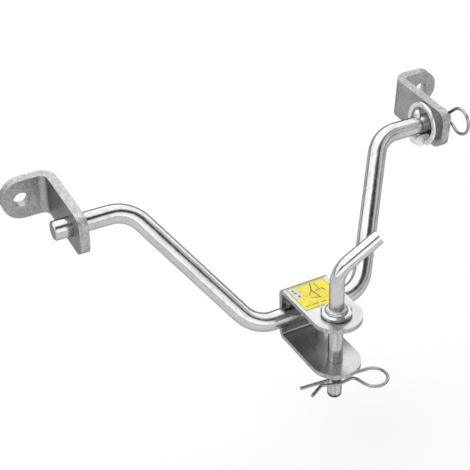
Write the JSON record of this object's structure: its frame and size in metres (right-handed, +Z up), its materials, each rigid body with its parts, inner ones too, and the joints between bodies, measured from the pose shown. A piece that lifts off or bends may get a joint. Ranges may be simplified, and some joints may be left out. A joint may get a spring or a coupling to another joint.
{
  "type": "drop draw bar with hitch jaw",
  "caption": "Bent round draw bar swinging between two bolt-on brackets, with a welded jaw and a drop-in hitch pin for towing.",
  "frame": {"origin": "midway between the two mounting bolt holes, on the plane of the brackets' mounting faces", "axes": "+X along the bolt line from the left bracket to the right one, +Y out of the mounting faces towards the machine that carries the brackets, +Z up; the jaw points to -Y"},
  "size_m": [0.423, 0.2185, 0.1689],
  "materials": {
    "zinc_plate": "satin, bright zinc plated",
    "zinc_bar": "glossy, bright zinc plated",
    "spring_wire": "bright zinc plated wire",
    "weld": "plated weld metal",
    "forged": "rough, zinc plated forging",
    "label": "printed vinyl"
  },
  "bodies": {
    "brackets": {"bracket_left": "zinc_plate", "bracket_right": "zinc_plate"},
    "bar": {"draw_bar": "zinc_bar", "hitch_jaw": "zinc_plate", "weld_bead_upper": "weld", "weld_bead_lower": "weld", "picture_label": "label", "linch_pin": "forged"},
    "pin": {"hitch_pin": "zinc_bar", "pin_collar": "zinc_bar", "collar_weld": "weld"},
    "lower_clip": {"pin_clip": "spring_wire"},
    "end_clip": {"bar_clip": "spring_wire"},
    "ring": {"linch_ring": "spring_wire"}
  },
  "joints": [
    {"name": "bar_swing", "type": "hinge", "parent": "brackets", "child": "bar", "pos_m": [-0.005, -0.059, 0], "axis": [1, 0, 0], "range_deg": [-110, 45]},
    {"name": "hitch_pin_turn", "type": "hinge", "parent": "bar", "child": "pin", "pos_m": [-0.005, -0.18965, -0.10507], "axis": [0, 0.0785, 0.9969], "continuous": true},
    {"name": "pin_clip_pull", "type": "slide", "parent": "pin", "child": "lower_clip", "axis": [0.9949, -0.1007, 0.0079], "range_m": [0, 0.045], "deforming": ["pin_clip"]},
    {"name": "bar_clip_pull", "type": "slide", "parent": "bar", "child": "end_clip", "axis": [0, -0.7009, 0.7133], "range_m": [0, 0.045], "deforming": ["bar_clip"]},
    {"name": "linch_ring_flip", "type": "hinge", "parent": "bar", "child": "ring", "pos_m": [0.1601, -0.0616, -0.01553], "axis": [0, 0.9863, -0.165], "range_deg": [-36, 6]}
  ]
}
